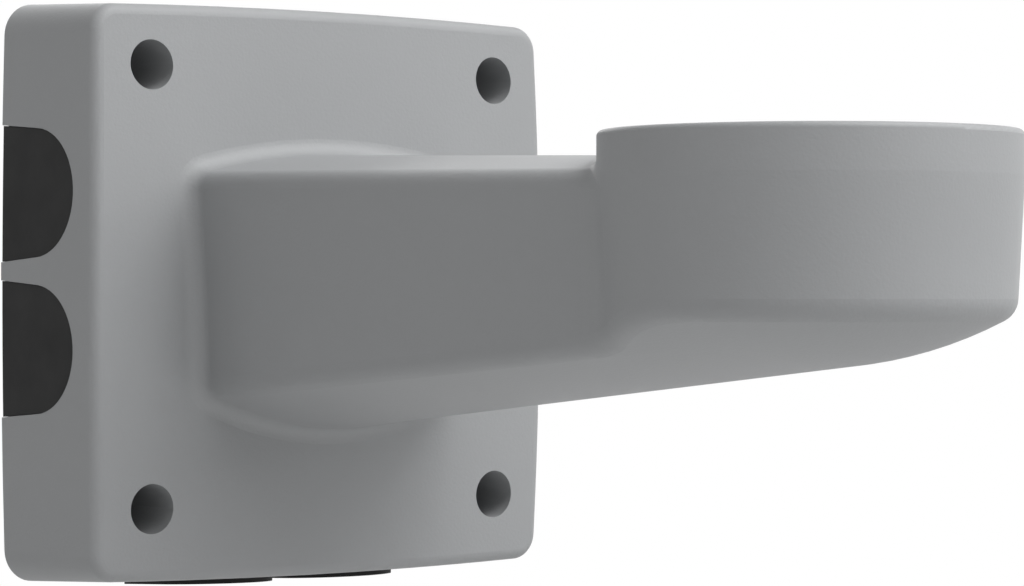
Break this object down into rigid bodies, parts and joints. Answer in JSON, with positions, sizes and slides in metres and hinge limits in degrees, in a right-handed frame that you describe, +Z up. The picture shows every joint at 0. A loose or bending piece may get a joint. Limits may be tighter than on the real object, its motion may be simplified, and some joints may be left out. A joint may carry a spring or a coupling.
{
  "type": "camera wall bracket",
  "caption": "Wall bracket for a surveillance camera: hollow square wall box, wide cable duct arm and an upright round cup that the camera stands on.",
  "frame": {"origin": "middle of the four wall bolt holes, on the plane of the wall face", "axes": "+Y points into the wall, so the arm runs along -Y, +Z is up and the cup opens upwards, +X is to the right of someone who faces the wall"},
  "size_m": [0.202, 0.3563, 0.204],
  "materials": {
    "grey_coat": "die-cast aluminium under a fine matt grey powder coat",
    "black_rubber": "matt moulded rubber",
    "bare_steel": "plain stainless steel"
  },
  "bodies": {
    "root": {"bracket_casting": "grey_coat", "side_plug_upper": "black_rubber", "side_plug_lower": "black_rubber", "bottom_plug_left": "black_rubber", "bottom_plug_right": "black_rubber", "earth_washer": "bare_steel", "earth_screw": "bare_steel"}
  },
  "joints": []
}
